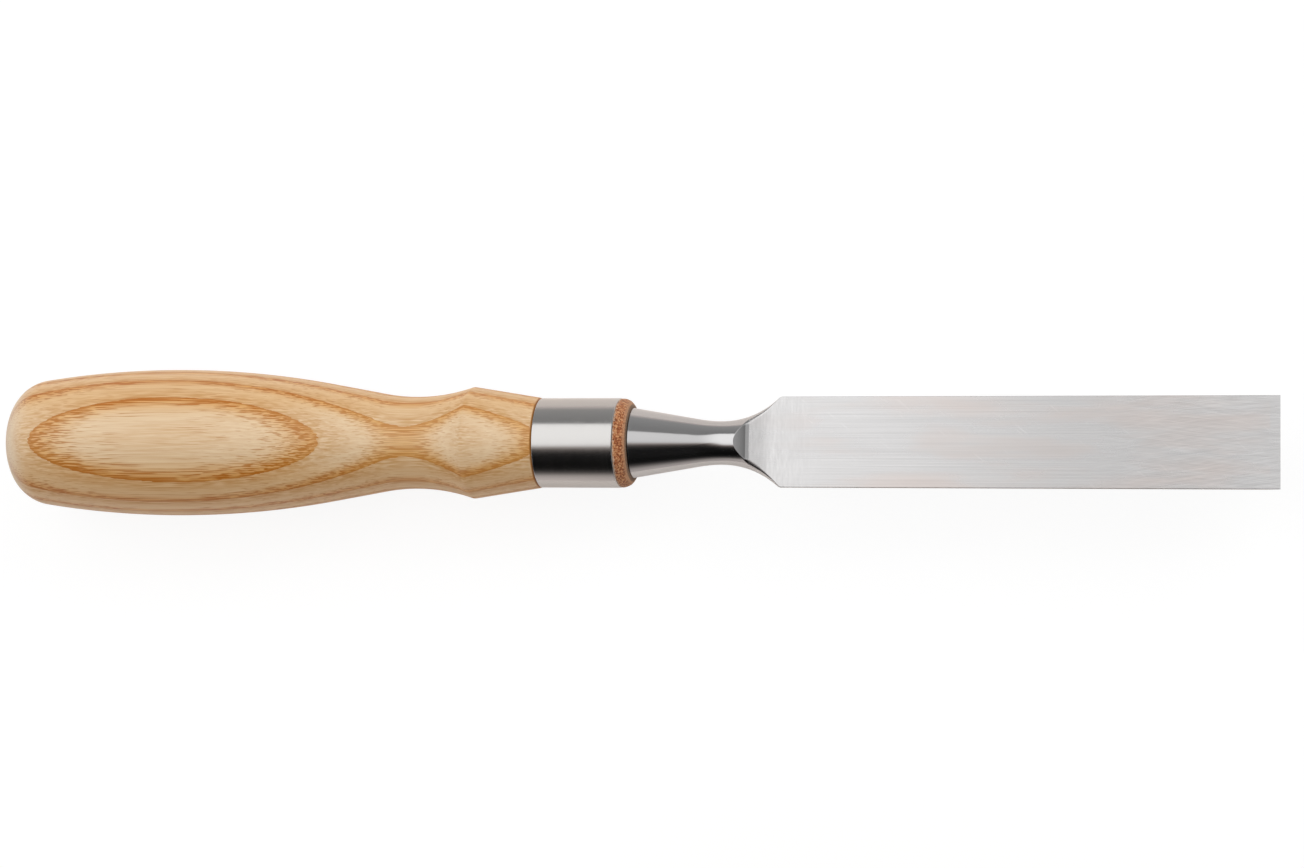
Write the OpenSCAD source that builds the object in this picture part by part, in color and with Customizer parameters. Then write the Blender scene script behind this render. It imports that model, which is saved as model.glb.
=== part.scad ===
// Bevel edge chisel: forged steel blade with a tang, leather washer, steel ferrule and turned ash handle.
// The tool lies along X with its cutting edge at +X and its flat back facing +Z.
// The origin is under the middle of its length, at the height of the handle's lowest point.
// All sizes are in millimetres.

/* [Blade] */
// Width of the blade, and of the cutting edge
blade_w = 20; // [16:0.5:32]
// Length of the blade from its shoulders to the cutting edge
blade_len = 107.3; // [70:0.1:160]
// Thickness of the blade at the shoulders
blade_t = 5.2; // [4.4:0.1:6]
// Thickness of the blade at the cutting edge's end, before the cutting bevel is ground
tip_t = 4; // [3:0.1:4.4]
// Height of the flat back above the tool's axis
back_h = 3.2; // [2.6:0.1:3.8]
// Height of the square land left on each long edge
land_h = 1.5; // [0.8:0.1:2]
// Slope of the side bevels, measured from the flat back
side_bevel_deg = 35; // [28:1:45]
// Slope of the cutting bevel, measured from the flat back
cutting_bevel_deg = 25; // [20:1:35]

/* [Neck] */
// Diameter of the bolster where it sits on the washer
bolster_d = 15.7; // [13:0.1:17]
// Diameter of the neck at its thinnest
neck_d = 9.7; // [8.5:0.1:10.5]
// Length from the bolster's seat to the blade's shoulders
neck_len = 33.7; // [31:0.1:45]
// Distance from the bolster's seat to the thinnest place of the neck
neck_pos = 20.2; // [15:0.1:22]
// Distance from the bolster's seat to the foot of the ramp on the flat back
back_pos = 26.9; // [25:0.1:28]
// Length of the run-out that the grinding wheel leaves between the flat back and the ramp
back_run = 5; // [3:0.1:6]
// Radius of that wheel
back_wheel_r = 21; // [18:1:40]
// Slope of the ramp that rises to the neck
ramp_deg = 23; // [21:1:40]
// Length of the narrow facet at the foot of the ramp
ramp_foot = 0.8; // [0.3:0.1:1.2]
// Radius of the wheel that grinds the bevelled side into the neck
face_wheel_r = 26; // [18:1:40]
// Distance behind the shoulders at which that wheel starts to lift
face_back = 1; // [0:0.1:2]
// Radius of the wheel that grinds the side bevels' ends
bevel_wheel_r = 18; // [12:1:30]
// Distance behind the shoulders at which that wheel starts to lift
bevel_back = 2.5; // [2.1:0.1:3]

/* [Tang] */
// Side of the square tang at the bolster
tang_w = 7; // [6:0.1:8]
// Side of the square tang at its end
tang_end_w = 4; // [3:0.1:5]
// Length of the tang
tang_len = 74; // [50:1:90]

/* [Washer] */
// Diameter of the leather washer
washer_d = 20; // [18:0.1:22]
// Thickness of the leather washer
washer_t = 2.7; // [2:0.1:5]
// Rounding of the washer's edge next to the bolster
washer_round = 1.9; // [0.5:0.1:1.9]

/* [Ferrule] */
// Outer diameter of the ferrule
ferrule_d = 20.1; // [19:0.1:21]
// Length of the ferrule
ferrule_len = 18.5; // [12:0.5:25]
// Wall of the ferrule
ferrule_wall = 1.2; // [0.8:0.1:2]
// Chamfer on the ferrule's two outer edges
ferrule_chamfer = 0.3; // [0.1:0.05:0.5]

/* [Handle] */
// Length of the handle behind the ferrule
grip_len = 127.3; // [115:0.1:145]
// Diameter of the handle at its belly
belly_d = 33.7; // [30:0.1:37]
// Distance from the butt to the belly
belly_pos = 39.8; // [34:0.1:46]
// Diameter of the handle at its waist
waist_d = 20.9; // [19:0.1:22.5]
// Distance from the ferrule back to the waist
waist_pos = 29; // [26:0.5:32]
// Radius of the cove at the waist
waist_r = 42; // [30:1:55]
// Length of the straight flank between the belly and the waist
flank_len = 12.5; // [0:0.5:20]
// Diameter of the sharp ridge between the waist and the ferrule
ridge_d = 25.3; // [23.5:0.1:26.5]
// Diameter of the handle where it meets the ferrule
collar_d = 20.3; // [20.2:0.1:22]
// Radius of the butt's rounded edge
butt_round = 9; // [6:0.1:12]
// Radius of the butt's shallow dome
butt_dome_r = 41; // [30:1:80]

/* [Fits] */
// Gap round the tenon inside the ferrule
ferrule_clear = 0.02; // [0:0.01:0.05]
// Gap round the tang inside its mortise
tang_clear = 0.05; // [0.02:0.01:0.1]
// Gap round the tang's corners inside the washer
washer_clear = 0.25; // [0.1:0.05:0.5]
// Depth of the drilled pilot hole beyond the tang's end
pilot_over = 5; // [2:0.5:10]
// Diameter of the drilled pilot hole
pilot_d = 5; // [4:0.1:6]

/* [Hidden] */
$fn = 96;

// Overcut past a face that a cut leaves open
over = 1;
// Overlap that lets lines and arcs which meet at a tangent cross each other
blend = 0.01;

// Stations along the tool
tool_len = blade_len + neck_len + washer_t + ferrule_len + grip_len;
butt_x = -tool_len / 2;
ferrule_x = butt_x + grip_len;
washer_x = ferrule_x + ferrule_len;
seat_x = washer_x + washer_t;
shoulder_x = seat_x + neck_len;
tip_x = shoulder_x + blade_len;
axis_z = belly_d / 2;

// Neck: a straight taper from the bolster, tangent to one cove that flares out to the shoulders
flare_r = norm([blade_w / 2, back_h]);
flare_run = neck_len - neck_pos;
flare_rise = flare_r - neck_d / 2;
cove_r = (flare_run ^ 2 + flare_rise ^ 2) / (2 * flare_rise);
cove_c = [neck_pos, neck_d / 2 + cove_r];
cove_from_seat = cove_c - [0, bolster_d / 2];
taper_deg = atan2(cove_from_seat.y, cove_from_seat.x) - asin(cove_r / norm(cove_from_seat));
taper_len = sqrt(norm(cove_from_seat) ^ 2 - cove_r ^ 2);
taper_dir = [cos(taper_deg), sin(taper_deg)];
taper_end = [0, bolster_d / 2] + taper_len * taper_dir + blend * [-taper_dir.y, taper_dir.x];

// Blade: thickness lies below the flat back, and tapers towards the cutting edge
face_fall_deg = atan((blade_t - tip_t) / blade_len);

// Back: the wheel dips just under the flat, so that its run-out meets the flat in a shallow edge
run_out_x = seat_x + back_pos + back_run;
wheel_dip = sqrt(back_wheel_r ^ 2 - (back_wheel_r - blend) ^ 2);
wheel_c = [run_out_x + wheel_dip, back_h + back_wheel_r - blend];
foot_a = [seat_x + back_pos, wheel_c.y - sqrt(back_wheel_r ^ 2 - (wheel_dip + back_run) ^ 2)];
foot_deg = (ramp_deg + asin((wheel_dip + back_run) / back_wheel_r)) / 2;
foot_b = foot_a + ramp_foot * [-1, tan(foot_deg)];

// Handle: belly arc, straight flank, waist cove, ridge and cone, each from its neighbours
belly_c_x = belly_pos;
waist_c_x = grip_len - waist_pos;
arc_run = waist_c_x - belly_c_x;
arc_drop = (belly_d - waist_d) / 2;
arc_sum = (arc_run ^ 2 + arc_drop ^ 2 - flank_len ^ 2) / (2 * arc_drop);
belly_r = arc_sum - waist_r;
belly_c = [belly_c_x, belly_d / 2 - belly_r];
waist_c = [waist_c_x, waist_d / 2 + waist_r];
flank_deg = atan2(waist_c.y - belly_c.y, arc_run) + acos(arc_sum / norm(waist_c - belly_c));
flank_dir = [cos(flank_deg), sin(flank_deg)];
flank_a = belly_c + (belly_r - blend) * flank_dir;
flank_b = waist_c - (waist_r - blend) * flank_dir;
ridge_x = waist_c_x + sqrt(waist_r ^ 2 - (waist_c.y - ridge_d / 2) ^ 2);
ridge = [ridge_x, ridge_d / 2];
collar = [grip_len, collar_d / 2];

// Butt: a corner arc tangent to the belly arc and to the end dome
dome_c = [butt_dome_r, 0];
corner_c = circles_meet(belly_c, belly_r - butt_round + blend, dome_c, butt_dome_r - butt_round + blend);
corner_a = dome_c + butt_dome_r * unit(corner_c - dome_c);
corner_b = belly_c + belly_r * unit(corner_c - belly_c);

// Tenon and mortise
tenon_d = ferrule_d - 2 * ferrule_wall - 2 * ferrule_clear;
washer_hole_d = tang_w * sqrt(2) + 2 * washer_clear;

function unit(v) = v / norm(v);

// The upper of the two points at distance ra from a and rb from b
function circles_meet(a, ra, b, rb) =
    let (d = norm(b - a), e = unit(b - a), k = (ra ^ 2 - rb ^ 2 + d ^ 2) / (2 * d), h = sqrt(ra ^ 2 - k ^ 2))
    a + k * e + h * [-e.y, e.x];

// Turns a profile of [length along the tool, radius] about the tool's axis, from station x
module turned(x) {
    translate([x, 0, axis_z]) rotate([0, 90, 0]) rotate_extrude() mirror([1, -1]) children();
}

// Draws a side outline of [x, height above the axis] across the tool's whole width
module side_cut() {
    translate([0, blade_w, axis_z]) rotate([90, 0, 0]) linear_extrude(2 * blade_w) children();
}

// Square tang, tapered on all four sides, with a gap round it for its mortise
module tang_form(gap = 0) {
    root = tang_w / 2 + gap;
    end = tang_end_w / 2 + gap;
    back = -tang_len - gap;
    // The root runs on into the bolster at the taper's own slope
    slope = (tang_w - tang_end_w) / 2 / tang_len;
    outline = [[over, root + slope * over], [back, end], [back, -end], [over, -root - slope * over]];
    translate([seat_x, 0, axis_z]) intersection() {
        translate([0, 0, -tang_w]) linear_extrude(2 * tang_w) polygon(outline);
        translate([0, tang_w, 0]) rotate([90, 0, 0]) linear_extrude(2 * tang_w) polygon(outline);
    }
}

// Bolster, tapered neck and round flare, as forged
module neck_blank() {
    end_x = neck_len + over;
    turned(seat_x) difference() {
        polygon([[0, 0], [end_x, 0], [end_x, flare_r + 3 * over], taper_end, [0, bolster_d / 2]]);
        translate(cove_c) circle(cove_r, $fn = 4 * $fn);
    }
}

// Blade bar, from inside the flare to the cutting edge
module blade_blank() {
    start_x = shoulder_x + over / 2;
    translate([start_x, -blade_w / 2, axis_z + back_h - blade_t]) cube([tip_x - start_x, blade_w, blade_t]);
}

// Clears everything above the flat back, and leaves its run-out and a ramp up to the neck
module back_cut() {
    top = 2 * flare_r;
    foot_end_x = foot_a.x + (foot_a.y - back_h) / tan(foot_deg);
    ramp_top_x = foot_b.x - (top - foot_b.y) / tan(ramp_deg);
    side_cut() intersection() {
        polygon([
            [foot_end_x, back_h], [tip_x + over, back_h], [tip_x + over, top], [ramp_top_x, top], foot_b
        ]);
        union() {
            translate(wheel_c) circle(back_wheel_r, $fn = 4 * $fn);
            translate([wheel_c.x, 0]) square([tip_x + 2 * over - wheel_c.x, 2 * top]);
        }
    }
}

// Clears everything below the bevelled side, and runs out into the neck on the wheel's radius
module face_cut() {
    depth = 2 * flare_r;
    translate([shoulder_x, 0, axis_z + back_h - blade_t]) rotate([0, -face_fall_deg, 0]) {
        translate([-face_back, -blade_w, -depth]) cube([blade_len + blade_w, 2 * blade_w, depth]);
        translate([-face_back, blade_w, -face_wheel_r]) rotate([90, 0, 0])
            cylinder(r = face_wheel_r, h = 2 * blade_w);
    }
}

// Trims the flare to the blade's width
module width_cut(side) {
    depth = 2 * flare_r;
    translate([seat_x, side > 0 ? blade_w / 2 : -blade_w / 2 - depth, axis_z - depth])
        cube([neck_len + blade_len + over, depth, 2 * depth]);
}

// Grinds one side bevel, below its land, with a rounded end at the shoulder
module side_bevel_cut(side) {
    reach = blade_w;
    translate([shoulder_x - bevel_back, side * blade_w / 2, axis_z + back_h - land_h])
        mirror([0, side > 0 ? 0 : 1, 0]) rotate([180 + side_bevel_deg, 0, 0]) {
            translate([0, -over, 0]) cube([blade_len + blade_w, reach, reach]);
            translate([0, -over, bevel_wheel_r]) rotate([-90, 0, 0]) cylinder(r = bevel_wheel_r, h = reach);
        }
}

// Grinds the cutting bevel
module cutting_bevel_cut() {
    run = 2 * blade_t / tan(cutting_bevel_deg);
    heel = [tip_x - run, back_h - 2 * blade_t];
    side_cut() polygon([[tip_x, back_h], heel, [tip_x + over, heel.y], [tip_x + over, back_h]]);
}

// Blade, neck, bolster and tang: one forging
module blade() {
    color("gainsboro") {
        difference() {
            union() {
                neck_blank();
                blade_blank();
            }
            back_cut();
            face_cut();
            cutting_bevel_cut();
            for (side = [-1, 1]) {
                width_cut(side);
                side_bevel_cut(side);
            }
        }
        tang_form();
    }
}

// Washer between the ferrule and the bolster, rounded over towards the bolster
module leather_washer() {
    rim = washer_d / 2;
    flat_t = washer_t - washer_round;
    color("sienna") turned(washer_x) difference() {
        union() {
            square([washer_t, rim - washer_round]);
            square([flat_t, rim]);
            intersection() {
                translate([flat_t, rim - washer_round]) circle(washer_round);
                square([washer_t, rim]);
            }
        }
        translate([-over, -over]) square([washer_t + 2 * over, washer_hole_d / 2 + over]);
    }
}

// Plain tube pressed on the handle's tenon
module ferrule() {
    outer = ferrule_d / 2;
    inner = outer - ferrule_wall;
    c = ferrule_chamfer;
    color("silver") turned(ferrule_x) polygon([
        [0, inner], [0, outer - c], [c, outer],
        [ferrule_len - c, outer], [ferrule_len, outer - c], [ferrule_len, inner]
    ]);
}

// Outline of the turned handle, with the tenon that carries the ferrule
module handle_outline() {
    difference() {
        union() {
            // Core and tenon
            translate([butt_round, 0]) square([grip_len + ferrule_len - butt_round, tenon_d / 2]);
            // End dome
            intersection() {
                translate(dome_c) circle(butt_dome_r, $fn = 8 * $fn);
                translate([-over, 0]) square([butt_round + 2 * over, corner_a.y]);
            }
            // Rounded edge of the butt
            intersection() {
                translate(corner_c) circle(butt_round);
                square(belly_d);
            }
            // Belly
            intersection() {
                translate(belly_c) circle(belly_r, $fn = 8 * $fn);
                translate([corner_b.x, 0]) square([waist_c_x - corner_b.x, belly_d]);
            }
            // Flank, and the cone from the ridge to the ferrule, run on into the waist's cove
            polygon([
                [flank_a.x, 0], [grip_len, 0], collar, ridge + over * unit(ridge - collar), flank_b, flank_a
            ]);
        }
        // Waist
        translate(waist_c) circle(waist_r, $fn = 8 * $fn);
    }
}

// Drilled pilot hole, deeper than the tang reaches
module pilot_hole() {
    translate([seat_x - tang_len - pilot_over, 0, axis_z]) rotate([0, 90, 0])
        cylinder(d = pilot_d, h = tang_len + pilot_over - washer_t + over);
}

module handle() {
    color("burlywood") difference() {
        turned(butt_x) handle_outline();
        tang_form(tang_clear);
        pilot_hole();
    }
}

blade();
leather_washer();
ferrule();
handle();
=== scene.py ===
"""Bevel edge chisel: the looks of its blade, washer, ferrule and handle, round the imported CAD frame."""

from __future__ import annotations

import logging
import math
from dataclasses import dataclass, field
from enum import Enum
from typing import Any, Callable

import bmesh
import bpy
from mathutils import Matrix, Vector


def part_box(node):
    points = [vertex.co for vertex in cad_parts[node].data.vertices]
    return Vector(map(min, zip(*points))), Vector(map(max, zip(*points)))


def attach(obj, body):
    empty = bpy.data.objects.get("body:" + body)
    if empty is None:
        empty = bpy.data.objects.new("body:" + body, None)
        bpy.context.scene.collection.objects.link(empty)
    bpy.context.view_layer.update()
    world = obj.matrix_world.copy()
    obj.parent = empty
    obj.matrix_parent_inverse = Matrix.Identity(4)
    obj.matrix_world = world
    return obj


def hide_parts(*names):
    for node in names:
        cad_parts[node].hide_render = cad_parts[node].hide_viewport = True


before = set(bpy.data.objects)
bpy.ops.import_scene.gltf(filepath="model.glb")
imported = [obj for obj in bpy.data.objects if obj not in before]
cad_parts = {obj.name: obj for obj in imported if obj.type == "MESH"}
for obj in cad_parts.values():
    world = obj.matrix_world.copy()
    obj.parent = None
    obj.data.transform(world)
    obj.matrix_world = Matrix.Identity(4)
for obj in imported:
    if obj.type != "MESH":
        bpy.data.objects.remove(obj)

LOG = logging.getLogger("chisel")

# One millimetre in metres: sizes are in millimetres until a mesh, lamp or texture takes them.
MM = 0.001

# A length or sine that is no smaller than this can be divided by.
TINY = 1e-9

WHITE = (1.0, 1.0, 1.0, 1.0)

# Settings that many nodes share.
SOFT = {"interpolation_type": "SMOOTHSTEP"}
TIMES = {"operation": "MULTIPLY"}
TIMES_PLUS = {"operation": "MULTIPLY_ADD"}
RGBA = {"data_type": "RGBA"}

# Three numbers, such as a point in space, sizes along its axes, or red, green and blue light.
Triple = tuple[float, float, float]

# Two numbers, such as the ends of a range, or a point of an outline: along the tool and out from its axis,
# or across and up in a cross section.
Pair = tuple[float, float]
Outline = list[Pair]

# How one value follows another: two marks of the other, then this one's values at those marks.
Curve = tuple[float, float, float, float]

Tree = bpy.types.NodeTree
Socket = bpy.types.NodeSocket


class Body(Enum):
    """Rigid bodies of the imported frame."""

    ROOT = "root"


class Slot(Enum):
    """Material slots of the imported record."""

    BLADE = "blade_steel"
    WASHER = "leather"
    FERRULE = "ferrule_steel"
    HANDLE = "ash"


# Helpers for colours and nodes


def linear(hex_text: str) -> tuple[float, float, float, float]:
    """Turns an sRGB hex colour into linear light.

    Args:
        hex_text: Colour such as "DEBF93".

    Returns:
        Linear red, green, blue and an alpha of 1.
    """
    parts = [int(hex_text[i : i + 2], 16) / 255 for i in (0, 2, 4)]
    red, green, blue = (c / 12.92 if c <= 0.04045 else ((c + 0.055) / 1.055) ** 2.4 for c in parts)
    return red, green, blue, 1.0


def moved(curve: Curve, by: float) -> Curve:
    """The same curve with both of its marks counted from another place."""
    return curve[0] + by, curve[1] + by, *curve[2:]


def add_node(
    tree: Tree,
    kind: str,
    inputs: dict[str | int, Any] | tuple[Any, ...] = (),
    out: str | int = 0,
    **settings: Any,
) -> Socket | None:
    """Adds a shader node, sets its properties, and fills or links its inputs.

    Args:
        tree: Node tree that takes the node.
        kind: Blender's node type name, after its prefix ShaderNode.
        inputs: Plain values, or output sockets to link, in order or by name or index.
        out: Name or index of the output to hand back.
        settings: Node properties by name.

    Returns:
        The output, or None from a node that ends a tree.
    """
    node = tree.nodes.new("ShaderNode" + kind)
    for name, value in settings.items():
        setattr(node, name, value)
    pairs = inputs.items() if isinstance(inputs, dict) else enumerate(inputs)
    for key, value in pairs:
        socket = node.inputs[key]
        if isinstance(value, Socket):
            tree.links.new(value, socket)
        else:
            socket.default_value = value
    return node.outputs[out] if node.outputs else None


def new_material(name: str) -> tuple[bpy.types.Material, Tree]:
    """Makes a material with an empty node tree.

    Args:
        name: Name of the material.

    Returns:
        The material and its tree.
    """
    material = bpy.data.materials.new(name)
    material.use_nodes = True
    material.node_tree.nodes.clear()
    return material, material.node_tree


def position_mm(tree: Tree, origin: Triple = (0.0, 0.0, 0.0)) -> tuple[Socket, ...]:
    """Finds where on the object a point lies, in millimetres.

    Args:
        tree: Node tree that takes the nodes.
        origin: Point of the CAD frame, in millimetres, to count from.

    Returns:
        The position, and its parts along X, Y and Z.
    """
    place = add_node(tree, "TexCoord", out="Object")
    inputs = {"Vector": place, "Location": [-part for part in origin], "Scale": [1 / MM] * 3}
    local = add_node(tree, "Mapping", inputs, vector_type="POINT")
    return local, *add_node(tree, "SeparateXYZ", (local,)).node.outputs


@dataclass(frozen=True)
class Grain:
    """A pattern of blotches, such as pores, fibres or strokes, that runs through the solid material.

    Attributes:
        size: Length of a blotch along X, Y and Z in millimetres.
        detail: Number of finer layers within it.
        roughness: How strongly the finer layers count.
    """

    size: Triple
    detail: float
    roughness: float = 0.55

    def lay(self, tree: Tree, place: Socket) -> Socket:
        """Lays the pattern out in a material.

        Args:
            tree: Node tree that takes the nodes.
            place: Position in millimetres.

        Returns:
            Socket with values from 0 to 1, a half on average.
        """
        scaled = add_node(tree, "VectorMath", (place, self.size), operation="DIVIDE")
        inputs = {"Vector": scaled, "Scale": 1.0, "Detail": self.detail, "Roughness": self.roughness}
        return add_node(tree, "TexNoise", inputs)


@dataclass(frozen=True)
class Relief:
    """Shallow relief of a surface, which shows in its shading alone.

    Attributes:
        depth_mm: Its depth in millimetres.
        strength: How strongly it shows, up to 1.
        sunken: Whether high values of its pattern lie deep.
    """

    depth_mm: float
    strength: float
    sunken: bool = False

    def surface(self, tree: Tree, pattern: Socket, inputs: dict[str, Any]) -> None:
        """Ends a material with a surface that has the relief.

        Args:
            tree: Node tree that takes the nodes.
            pattern: The relief's pattern.
            inputs: The surface's other inputs by name.
        """
        depth = {"Strength": self.strength, "Distance": self.depth_mm * MM, "Height": pattern}
        normal = add_node(tree, "Bump", depth, invert=self.sunken)
        shader = add_node(tree, "BsdfPrincipled", {**inputs, "Normal": normal})
        add_node(tree, "OutputMaterial", (shader,))


# Helpers for meshes


def smoothstep(low: float, high: float, value: float) -> float:
    """Rises smoothly from 0 at low to 1 at high."""
    t = min(1.0, max(0.0, (value - low) / (high - low)))
    return t * t * (3 - 2 * t)


def between(a: Pair, b: Pair, t: float) -> Pair:
    """Point at a share t of the way from a to b."""
    return a[0] + (b[0] - a[0]) * t, a[1] + (b[1] - a[1]) * t


def bend(a: Pair, corner: Pair, b: Pair, t: float) -> Pair:
    """Point at a share t of the curve that rounds a corner between a and b."""
    shares = ((1 - t) ** 2, 2 * t * (1 - t), t**2)
    return tuple(sum(share * p[k] for share, p in zip(shares, (a, corner, b))) for k in range(2))


def arc(centre: Pair, radius: float, start: float, end: float, steps: int) -> Outline:
    """Points along a circle between two angles, in radians from the first axis, both ends included."""
    angles = [start + (end - start) * i / steps for i in range(steps + 1)]
    return [(centre[0] + radius * math.cos(a), centre[1] + radius * math.sin(a)) for a in angles]


def add_object(name: str, data: bpy.types.ID) -> bpy.types.Object:
    """Adds an object to the scene.

    Args:
        name: Name of the object.
        data: Its mesh, lamp or camera.

    Returns:
        The new object.
    """
    thing = bpy.data.objects.new(name, data)
    bpy.context.scene.collection.objects.link(thing)
    return thing


def mesh_object(name: str, bm: bmesh.types.BMesh) -> bpy.types.Object:
    """Turns a bmesh into an object of the scene.

    Args:
        name: Name of the object and its mesh.
        bm: The mesh, in metres, which is freed here.

    Returns:
        The new object.
    """
    mesh = bpy.data.meshes.new(name)
    bm.to_mesh(mesh)
    bm.free()
    return add_object(name, mesh)


def smooth_object(name: str, bm: bmesh.types.BMesh) -> bpy.types.Object:
    """Turns a bmesh into a smooth shaded object whose faces all look outwards.

    Args:
        name: Name of the object and its mesh.
        bm: The mesh, in metres, which is freed here.

    Returns:
        The new object.
    """
    bmesh.ops.recalc_face_normals(bm, faces=bm.faces)
    piece = mesh_object(name, bm)
    piece.data.polygons.foreach_set("use_smooth", [True] * len(piece.data.polygons))
    return piece


def stitch(bm: bmesh.types.BMesh, rings: list[list[bmesh.types.BMVert]], wrap: bool) -> None:
    """Joins rings of vertices with quads.

    Args:
        bm: Mesh that holds the rings.
        rings: Rings of equal length, in order.
        wrap: Whether the last ring joins the first.
    """
    pairs = list(zip(rings, rings[1:]))
    if wrap:
        pairs.append((rings[-1], rings[0]))
    for a, b in pairs:
        for i in range(len(a)):
            j = (i + 1) % len(a)
            bm.faces.new((a[i], a[j], b[j], b[i]))


def lathe(
    name: str,
    outline: Outline,
    axis_z: float,
    segments: int,
    hollow: bool,
    shift: Callable[[float, float, float], float] | None = None,
) -> bpy.types.Object:
    """Turns an outline about the tool's axis into a closed mesh.

    Args:
        name: Name of the new object.
        outline: Points of [station, radius]. It ends on the axis at both ends, unless it is hollow.
        axis_z: Height of the tool's axis.
        segments: Number of steps round the axis.
        hollow: Whether the outline is a closed loop clear of the axis, as of a tube.
        shift: Radial shift at a station, radius and angle, or None.

    Returns:
        The new object, whose flat faces keep their own normals next to rounded edges.
    """
    bm = bmesh.new()
    rings = []
    for x, radius in outline if hollow else outline[1:-1]:
        ring = []
        for i in range(segments):
            angle = 2 * math.pi * i / segments
            r = radius + (shift(x, radius, angle) if shift else 0.0)
            y, z = r * math.sin(angle), axis_z + r * math.cos(angle)
            ring.append(bm.verts.new((x * MM, y * MM, z * MM)))
        rings.append(ring)
    stitch(bm, rings, wrap=hollow)
    if not hollow:
        for (x, _), ring in ((outline[0], rings[0]), (outline[-1], rings[-1])):
            pole = bm.verts.new((x * MM, 0.0, axis_z * MM))
            for i in range(segments):
                bm.faces.new((ring[i], ring[(i + 1) % segments], pole))
    piece = smooth_object(name, bm)
    modifier = piece.modifiers.new("flat_faces", "WEIGHTED_NORMAL")
    modifier.weight = 100
    modifier.keep_sharp = False
    return piece


# Finishes


@dataclass(frozen=True)
class LacqueredAsh:
    """Ash, turned on a lathe, sanded and given a clear satin lacquer.

    Ash is ring-porous: each year starts with a dark band of open pores that has a sharp edge towards the
    year before it, breaks up into dashes, gives way to pale wood, and ends in a denser, browner layer. The
    layers of this blank lie flat, so the turned belly shows them as nested ovals, and its sides as stripes.
    """

    pale: str = "F1D6B0"
    fibre: str = "DFB888"
    dense: str = "CF9D60"
    early: str = "DEA140"
    pore: str = "BB7008"
    pooled: str = "A86A18"
    # Multiplier of the painted shade on both flanks.
    flank: str = "FAEEDB"
    end_grain: str = "E6D5BE"
    roughness: float = 0.48
    # A year's thickness, the height over the axis where the top year starts, how far the top layers lean
    # along the tool, up to which station, how far all of them tilt across it, and how deep the pith lies
    # that they bow round.
    year_mm: float = 4.1
    top_mm: float = 14.0
    lean: float = 0.019
    lean_end_mm: float = 40.0
    tilt: float = -0.035
    pith_mm: float = 260.0
    # Years below the top one that are counted, more than the handle holds, so that no count falls below 0.
    years: float = 40.0
    # The layers wander slowly, and their edge is ragged where pores open into it.
    wander: Grain = Grain((80.0, 34.0, 34.0), 1.0)
    wander_mm: float = 1.6
    ragged: Grain = Grain((3.0, 0.5, 0.5), 2.0)
    ragged_mm: float = 0.3
    # Pores are tubes along the grain, about a third of a millimetre wide, which the turned surface cuts into
    # lines and dashes. Nearly all of them show at the start of a year, and only the widest further on, and
    # paler.
    pores: Grain = Grain((16.0, 0.23, 0.34), 1.0, 0.5)
    pore_width: Curve = (0.0, 0.58, 0.46, 0.66)
    pore_rim: Curve = (-0.05, 0.06, 0.0, 1.0)
    pore_fade: Curve = (0.1, 0.55, 0.95, 0.5)
    # The layers that the waist lays bare grew slower, and have narrower pores.
    slow_growth: Curve = (30.0, 55.0, 1.0, 0.72)
    # The line where a year starts is thin, and fades out here and there.
    line: Pair = (0.02, 0.075)
    breaks: Grain = Grain((9.0, 2.0, 2.0), 2.0)
    break_tone: Curve = (0.35, 0.6, 0.3, 0.9)
    # Fibres are finer and much fainter than pores. They are drawn coarser than they are, to show.
    fibres: Grain = Grain((26.0, 0.45, 0.45), 4.0)
    fibre_tone: Curve = (0.3, 0.72, 0.0, 0.75)
    # The start of a year is golden. Its dense end is streaked with short pale vessels.
    early_tone: Curve = (0.0, 0.48, 0.7, 0.0)
    dense_tone: Curve = (0.45, 0.95, 0.0, 0.55)
    vessels: Grain = Grain((6.0, 0.4, 0.4), 1.0)
    vessel_tone: Curve = (0.38, 0.62, 1.5, 0.3)
    # Lacquer that ran into the joint with the ferrule dries to a thin brown line, and dries paler on the
    # butt.
    # Both flanks are painted darker and more saturated: painted shade where the handle turns from the light.
    pool_tone: Curve = (-0.4, -0.1, 0.0, 1.0)
    painted_flank_shade: Curve = (3.5, 9.0, 0.0, 1.0)
    butt_tone: Curve = (9.0, 0.5, 0.0, 0.75)
    # Open pores show as shallow grooves under the lacquer, which is a thin clear coat.
    grooves: Relief = Relief(0.03, 0.25, sunken=True)
    ior: float = 1.5
    coat: float = 0.25
    coat_roughness: float = 0.35

    def year(self, tree: Tree, place: tuple[Socket, ...]) -> Socket:
        """Finds how far through its year the wood is at a point.

        Args:
            tree: Node tree that takes the nodes.
            place: Position in millimetres from the axis at the belly, and its parts along X, Y and Z.

        Returns:
            Socket that goes from 0 at the start of a year to 1 at its end.
        """
        local, x, y, z = place
        # The top layers thin out from the butt to the waist, so they lean there and the rest don't.
        top = (self.top_mm - self.year_mm, self.top_mm - self.wander_mm / 2, 0.0, self.lean)
        slope = add_node(tree, "MapRange", (z, *top))
        along = add_node(tree, "Math", (x, self.lean_end_mm), operation="MINIMUM")
        height = z
        for term, share in (
            (add_node(tree, "Math", (y, y), **TIMES), 0.5 / self.pith_mm),
            (y, self.tilt),
            (add_node(tree, "Math", (along, slope), **TIMES), 1.0),
            (self.wander.lay(tree, local), self.wander_mm),
            (self.ragged.lay(tree, local), self.ragged_mm),
        ):
            height = add_node(tree, "Math", (term, share, height), **TIMES_PLUS)
        # Both patterns are a half on average, which is taken off again.
        start = self.top_mm + (self.wander_mm + self.ragged_mm) / 2
        count = (height, 1 / self.year_mm, self.years - start / self.year_mm)
        return add_node(tree, "Math", (add_node(tree, "Math", count, **TIMES_PLUS),), operation="FRACT")

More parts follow.
